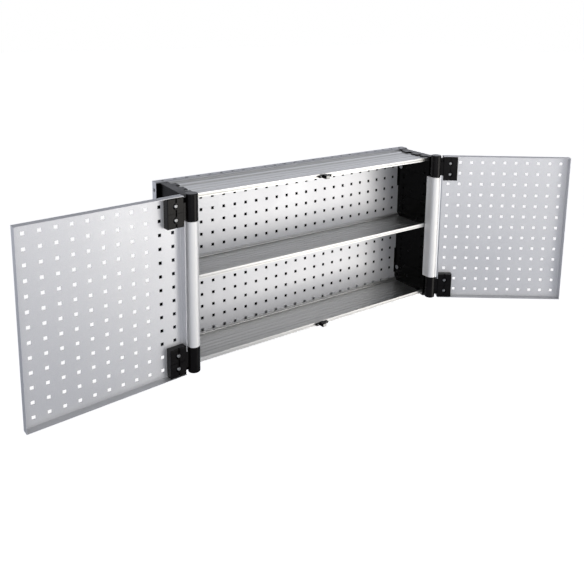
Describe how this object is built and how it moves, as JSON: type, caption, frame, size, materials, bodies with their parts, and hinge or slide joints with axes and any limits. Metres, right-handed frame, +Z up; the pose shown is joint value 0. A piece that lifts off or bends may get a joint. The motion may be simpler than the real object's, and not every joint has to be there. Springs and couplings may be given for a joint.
{
  "type": "wall tool cabinet",
  "caption": "Wall-mounted perforated tool cabinet with open shelves and a pair of perforated swing doors on extruded hinge posts",
  "frame": {"origin": "middle of the four wall bolts, on the wall plane", "axes": "+X right along the cabinet, +Y into the wall, +Z up"},
  "size_m": [1.7386, 0.4684, 0.512],
  "materials": {
    "panel_powder_coat": "silver-grey powder coat, fine texture, satin",
    "shelf_aluminium": "extruded, satin anodised",
    "post_aluminium": "extruded, bright satin anodised",
    "black_gloss_plastic": "moulded, semi-gloss",
    "black_plastic": "moulded, satin sheen",
    "white_nylon": "moulded nylon",
    "zinc_steel": "bright zinc plated steel",
    "black_steel": "black plated steel",
    "black_coated_steel": "black coated sheet steel, matt",
    "rod_steel": "drawn steel",
    "magnet_steel": "nickel plated magnet"
  },
  "bodies": {
    "cabinet": {"back_panel": "panel_powder_coat", "shelf_top": "shelf_aluminium", "shelf_middle": "shelf_aluminium", "shelf_bottom": "shelf_aluminium", "rear_cover": "black_coated_steel", "cover_rivets": "black_coated_steel", "shelf_pegs": "zinc_steel", "catch_screws": "zinc_steel", "catch_magnet_top": "magnet_steel", "catch_magnet_bottom": "magnet_steel", "catch_housing_top": "black_plastic", "catch_housing_bottom": "black_plastic", "gable_left": "black_gloss_plastic", "gable_right": "black_gloss_plastic", "gable_liner_left": "black_gloss_plastic", "gable_liner_right": "black_gloss_plastic", "liner_screws_left": "black_steel", "liner_screws_right": "black_steel", "panel_cams_left": "zinc_steel", "panel_cams_right": "zinc_steel", "cam_studs_left": "zinc_steel", "cam_studs_right": "zinc_steel", "cable_grommet_left": "black_plastic", "cable_grommet_right": "black_plastic", "hinge_post_left": "post_aluminium", "hinge_post_right": "post_aluminium", "post_screws_left": "zinc_steel", "post_screws_right": "zinc_steel", "hinge_rod_left": "rod_steel", "hinge_rod_right": "rod_steel", "rod_bushes_left": "white_nylon", "rod_bushes_right": "white_nylon", "shelf_screws_left": "zinc_steel", "shelf_screws_right": "zinc_steel"},
    "left_door": {"door_panel_left": "panel_powder_coat", "hinge_leaf_upper_left": "black_plastic", "hinge_leaf_lower_left": "black_plastic", "hinge_screws_left": "zinc_steel", "sleeve_nuts_left": "zinc_steel"},
    "right_door": {"door_panel_right": "panel_powder_coat", "hinge_leaf_upper_right": "black_plastic", "hinge_leaf_lower_right": "black_plastic", "hinge_screws_right": "zinc_steel", "sleeve_nuts_right": "zinc_steel"}
  },
  "joints": [
    {"name": "left_door_hinge", "type": "hinge", "parent": "cabinet", "child": "left_door", "pos_m": [-0.454, -0.2, 0], "axis": [0, 0, 1], "range_deg": [-5, 175]},
    {"name": "right_door_hinge", "type": "hinge", "parent": "cabinet", "child": "right_door", "pos_m": [0.454, -0.2, 0], "axis": [0, 0, -1], "range_deg": [-35.7, 144.3]}
  ]
}
